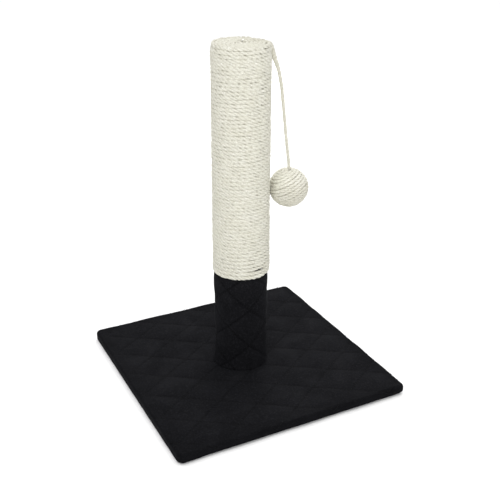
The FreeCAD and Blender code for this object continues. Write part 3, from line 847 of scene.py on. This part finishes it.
def sleeve():
    n, m = 300, 170
    round_mm = 2 * math.pi * 32.6
    u = np.arange(n) / n
    s = (u - 0.5) * round_mm
    z = Z_TOP + 0.05 + (SLEEVE_TOP - Z_TOP - 0.05) * np.linspace(0, 1, m)
    S, Z = np.meshgrid(s, z, indexing="ij")
    r = sleeve_radius(S, Z)
    seam = 1.4 * SLEEVE_Q.seam(S, Z)
    # the upright join at the back: one edge is turned under and laps the other
    back = np.minimum(np.abs(S + round_mm / 2), np.abs(S - round_mm / 2))
    r = r + 0.8 * np.exp(-((S + round_mm / 2 - 3.0) / 3.2) ** 2) - 0.9 * np.exp(-(back / 0.7) ** 2)
    seam = np.maximum(seam, np.exp(-(back / 0.9) ** 2))
    r = np.maximum(r, SLEEVE_IN + 0.5)
    a = math.radians(FACING) + 2 * math.pi * (u - 0.5)
    c, q = np.cos(a)[:, None], np.sin(a)[:, None]
    cols = [np.stack([r * c, r * q, Z], -1)]
    att = [seam]
    top_r = r[:, -1]
    # over the top edge, under the rope as a thin hem, and down the inside
    hem = [(0.55, 0.02), (0.2, 0.05)]
    for k, dz in hem:
        rr = (SLEEVE_IN + 0.6) + (top_r - SLEEVE_IN - 0.6) * k
        cols.append(np.stack([rr * c[:, 0], rr * q[:, 0], np.full(n, SLEEVE_TOP + dz)], -1)[:, None, :])
        att.append(np.zeros((n, 1)))
    for rr, zz in ((31.1, SLEEVE_TOP + 0.3), (31.1, SLEEVE_TOP + 15.0), (SLEEVE_IN + 0.02, SLEEVE_TOP + 15.6), (SLEEVE_IN, 120.0), (SLEEVE_IN, 60.0), (SLEEVE_IN, Z_TOP + 0.05)):
        cols.append(np.stack([rr * c[:, 0], rr * q[:, 0], np.full(n, zz)], -1)[:, None, :])
        att.append(np.zeros((n, 1)))
    grid = np.concatenate(cols, axis=1)
    k = grid.shape[1]
    i, j = np.arange(n)[:, None] * k, np.arange(k)[None, :]
    i1 = (np.arange(n)[:, None] + 1) % n * k
    j1 = (j + 1) % k
    faces = np.stack([i + j, i1 + j, i1 + j1, i + j1], -1).reshape(-1, 4).tolist()
    return grid.reshape(-1, 3), faces, np.concatenate(att, axis=1).ravel()


v, f, sm = sleeve()
sleeve_ob = new_object("quilted_post_sleeve", v, f, True, {"seam": sm})
give(sleeve_ob, VELVET)
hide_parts("post_sleeve")
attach(sleeve_ob, "stand")


# ---------------------------------------------------------------- stitches
def stitch_mesh(centres, along, up, length, r=0.28):
    """Small threads that dip into the cloth at both ends."""
    n = len(centres)
    sides, rings = 5, 5
    tt = np.linspace(-1, 1, rings)
    verts = np.zeros((n, rings, sides, 3))
    side = np.cross(up, along)
    for i, t in enumerate(tt):
        mid = centres + along * (t * length / 2)[:, None] + up * (0.16 - 0.42 * t ** 4)
        rr = r * (1 - 0.45 * t ** 4)
        for j in range(sides):
            a = 2 * math.pi * j / sides
            verts[:, i, j] = mid + side * (rr * math.cos(a)) + up * (rr * math.sin(a))
    faces = []
    for q in range(n):
        b = q * rings * sides
        for i in range(rings - 1):
            for j in range(sides):
                j1 = (j + 1) % sides
                faces.append([b + i * sides + j, b + i * sides + j1, b + (i + 1) * sides + j1, b + (i + 1) * sides + j])
        faces.append([b + j for j in range(sides)][::-1])
        faces.append([b + (rings - 1) * sides + j for j in range(sides)])
    return verts.reshape(-1, 3), faces


def base_surface(x, y):
    """Where a point of the flat cloth lies on the covered base: on the top, or over one edge and down its side."""
    m = np.maximum(np.abs(x), np.abs(y))
    l = np.clip(m - EDGE, 0, None)
    h = np.interp(l, PROFILE[:, 0], PROFILE[:, 1])
    zz = np.interp(l, PROFILE[:, 0], PROFILE[:, 2])
    no = np.interp(l, PROFILE[:, 0], PROFILE[:, 3])
    onx = np.abs(x) >= np.abs(y)
    px, py = np.where(l > 0, np.where(onx, np.sign(x) * h, x), x), np.where(l > 0, np.where(onx, y, np.sign(y) * h), y)
    z = np.where(l > 0, zz, top_height(np.clip(x, -EDGE, EDGE), np.clip(y, -EDGE, EDGE)))
    hq = BASE_Q.height(x, y)
    lift = np.where(l > 0, np.clip(0.60 * (hq - 0.55), -0.6, 0.6), 0)
    px = px + np.where((l > 0) & onx, np.sign(x) * no * lift, 0)
    py = py + np.where((l > 0) & ~onx, np.sign(y) * no * lift, 0)
    up = np.stack([np.where((l > 0) & onx, np.sign(x) * no, 0), np.where((l > 0) & ~onx, np.sign(y) * no, 0),
                   np.where(l > 0, np.sqrt(np.clip(1 - no ** 2, 0, 1)), 1.0)], -1)
    return np.stack([px, py, z], -1), up


def base_stitches():
    cs, al, up, ln = [], [], [], []
    r = np.random.default_rng(9)
    for family in (0, 1):
        for k in range(-9, 10):
            s = np.arange(-460, 460, 4.1) + r.uniform(0, 3)
            x, y = BASE_Q.on_seam(family, k, s)
            x1, y1 = BASE_Q.on_seam(family, k, s + 1.4)
            x2, y2 = BASE_Q.on_seam(family, k, s - 1.4)
            ok = (np.abs(x) < 154.5) & (np.abs(y) < 154.5) & ~((np.abs(x) > 141) & (np.abs(y) > 141)) & (np.hypot(x, y) > 36.5)
            if not ok.any():
                continue
            c, n = base_surface(x[ok], y[ok])
            p, _ = base_surface(x1[ok], y1[ok])
            m, _ = base_surface(x2[ok], y2[ok])
            d = p - m
            d /= np.linalg.norm(d, axis=1)[:, None]
            cs.append(c), al.append(d), up.append(n), ln.append(r.uniform(2.9, 3.3, len(c)))
    cs, al, up, ln = (np.concatenate(q) for q in (cs, al, up, ln))
    up = up - al * (up * al).sum(1)[:, None]
    up /= np.linalg.norm(up, axis=1)[:, None]
    return stitch_mesh(cs, al, up, ln)


def sleeve_stitches():
    cs, al, up, ln = [], [], [], []
    r = np.random.default_rng(10)
    half = math.pi * 32.6

    def on(s, z):
        rr = sleeve_radius(s, z)
        a = math.radians(FACING) + s / 32.6
        return np.stack([rr * np.cos(a), rr * np.sin(a), z], -1), np.stack([np.cos(a), np.sin(a), np.zeros_like(a)], -1)

    for family in (0, 1):
        for k in range(-9, 10):
            s = np.arange(-400, 400, 4.1) + r.uniform(0, 3)
            x, y = SLEEVE_Q.on_seam(family, k, s)
            x1, y1 = SLEEVE_Q.on_seam(family, k, s + 1.4)
            x2, y2 = SLEEVE_Q.on_seam(family, k, s - 1.4)
            ok = (np.abs(x) < half - 2.5) & (y > Z_TOP + 2.5) & (y < SLEEVE_TOP - 2.0)
            if not ok.any():
                continue
            c, n = on(x[ok], y[ok])
            d = on(x1[ok], y1[ok])[0] - on(x2[ok], y2[ok])[0]
            d /= np.linalg.norm(d, axis=1)[:, None]
            cs.append(c), al.append(d), up.append(n), ln.append(r.uniform(2.9, 3.3, len(c)))
    cs, al, up, ln = (np.concatenate(q) for q in (cs, al, up, ln))
    up = up - al * (up * al).sum(1)[:, None]
    up /= np.linalg.norm(up, axis=1)[:, None]
    return stitch_mesh(cs, al, up, ln)


for name, (v, f) in (("base_cover_stitches", base_stitches()), ("sleeve_stitches", sleeve_stitches())):
    ob = new_object(name, v, f)
    give(ob, THREAD)
    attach(ob, "stand")

# ---------------------------------------------------------------- the pieces that keep their own shape
for names, material in (
        (("cover_staples", "base_bolt", "bolt_washer", "threaded_insert", "plug_nails", "rope_staples", "cord_staple"), STEEL),
        (("base_board",), board_material()), (("backing_cloth",), cloth_material()), (("post_tube",), cardboard_material()),
        (("bottom_plug", "top_plug"), pine_material()), (("ball_core",), plastic_material())):
    for n in names:
        give(NODES[n], material)
knot_mat = Mat("knot_cord", Roughness=0.85, Specular_IOR_Level=0.18)
twist = knot_mat.noise(420.0, knot_mat.scaled(knot_mat.place(), (1, 1, 2.4)), 4.0, 0.6, distort=1.2)
knot_mat.colour(knot_mat.ramp(twist, [(0.3, (0.60, 0.58, 0.48)), (0.7, (0.79, 0.78, 0.68))]))
knot_mat.bump((twist, 0.0006, 0.9))
give(NODES["cord_knot"], knot_mat.m)


# ---------------------------------------------------------------- floor and light
def stage():
    me = bpy.data.meshes.new("floor")
    me.from_pydata([(-9, -9, 0), (9, -9, 0), (9, 9, 0), (-9, 9, 0)], [], [(0, 1, 2, 3)])
    floor = bpy.data.objects.new("floor", me)
    bpy.context.scene.collection.objects.link(floor)
    m = Mat("pale_floor", Roughness=0.9, Specular_IOR_Level=0.1)
    m.colour(m.ramp(m.noise(6.0), [(0.3, (0.93, 0.93, 0.93)), (0.7, (0.95, 0.95, 0.95))]))
    me.materials.append(m.m)
    world = bpy.data.worlds.new("studio")
    bpy.context.scene.world = world
    world.use_nodes = True
    bg = world.node_tree.nodes["Background"]
    bg.inputs[0].default_value = (1.0, 1.0, 1.0, 1.0)
    bg.inputs[1].default_value = 0.49
    sky = bpy.data.lights.new("softbox", "SUN")         # an even light from straight above, as a ceiling of softboxes gives
    sky.energy = 1.92
    sky.angle = math.radians(70)
    ob = bpy.data.objects.new("softbox", sky)
    bpy.context.scene.collection.objects.link(ob)

    def area(name, at, look, size, power):
        d = bpy.data.lights.new(name, "AREA")
        d.shape = "DISK"
        d.size = size
        d.energy = power
        ob = bpy.data.objects.new(name, d)
        bpy.context.scene.collection.objects.link(ob)
        ob.location = at
        ob.rotation_euler = (Vector(look) - Vector(at)).to_track_quat("-Z", "Y").to_euler()

    area("back_right", (1.05, 1.35, 0.75), (0, 0, 0.1), 1.1, 14.0)
    area("front_fill", (-0.9, -1.9, 1.0), (0, 0, 0.22), 1.0, 20.0)


stage()
view = bpy.context.scene.view_settings
view.view_transform = "Standard"
view.look = "None"
